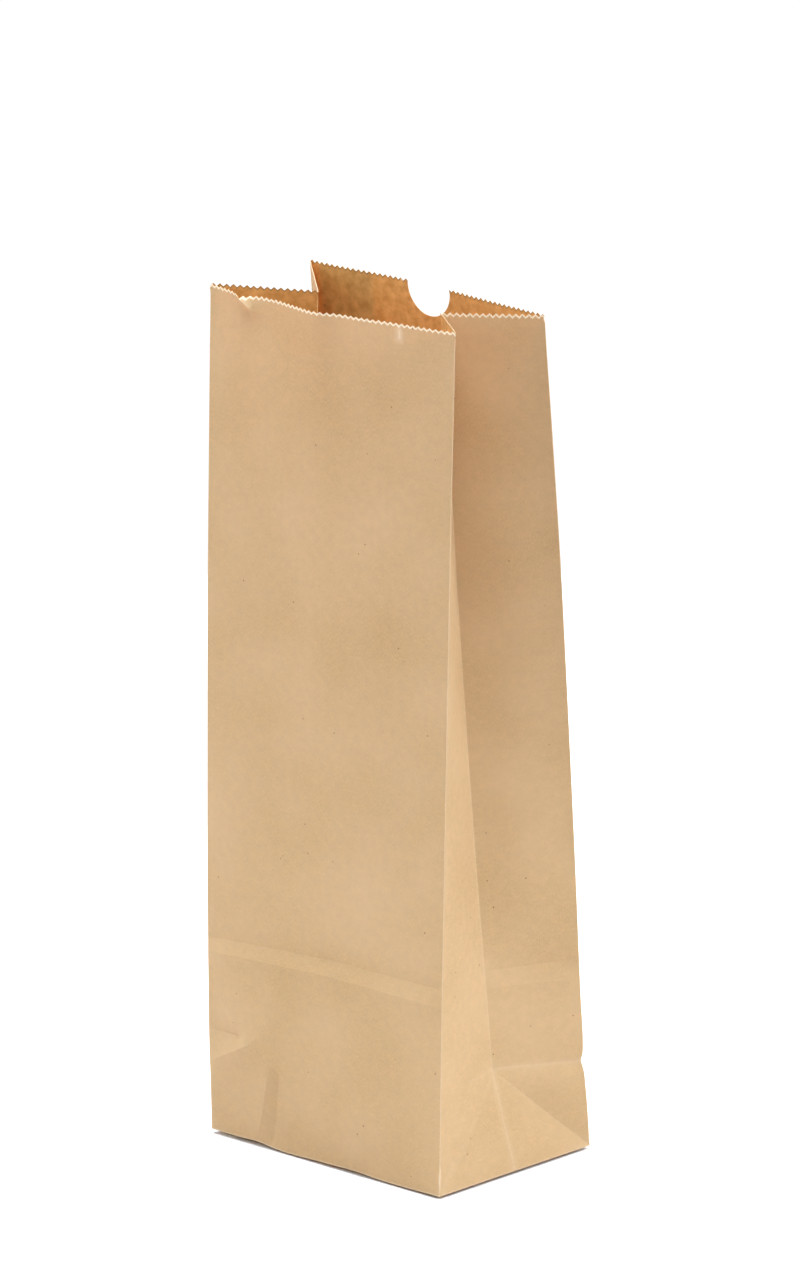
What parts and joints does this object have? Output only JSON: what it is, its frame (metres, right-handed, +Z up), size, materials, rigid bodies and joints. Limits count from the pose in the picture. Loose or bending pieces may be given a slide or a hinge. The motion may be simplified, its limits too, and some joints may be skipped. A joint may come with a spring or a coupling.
{
  "type": "paper lunch bag",
  "caption": "Open brown paper lunch bag with side gussets, a flat block bottom, a serrated mouth and a thumb cut in the back panel.",
  "frame": {"origin": "middle of the base, on the surface the bag stands on", "axes": "+Z up along the bag, +X along the wide front and back panels, +Y from the front panel to the back panel, which has the thumb cut"},
  "size_m": [0.1224, 0.0802, 0.326],
  "materials": {
    "brown_kraft_paper": "uncoated unbleached kraft, machine finished"
  },
  "bodies": {
    "root": {"paper_bag": "brown_kraft_paper"}
  },
  "joints": []
}
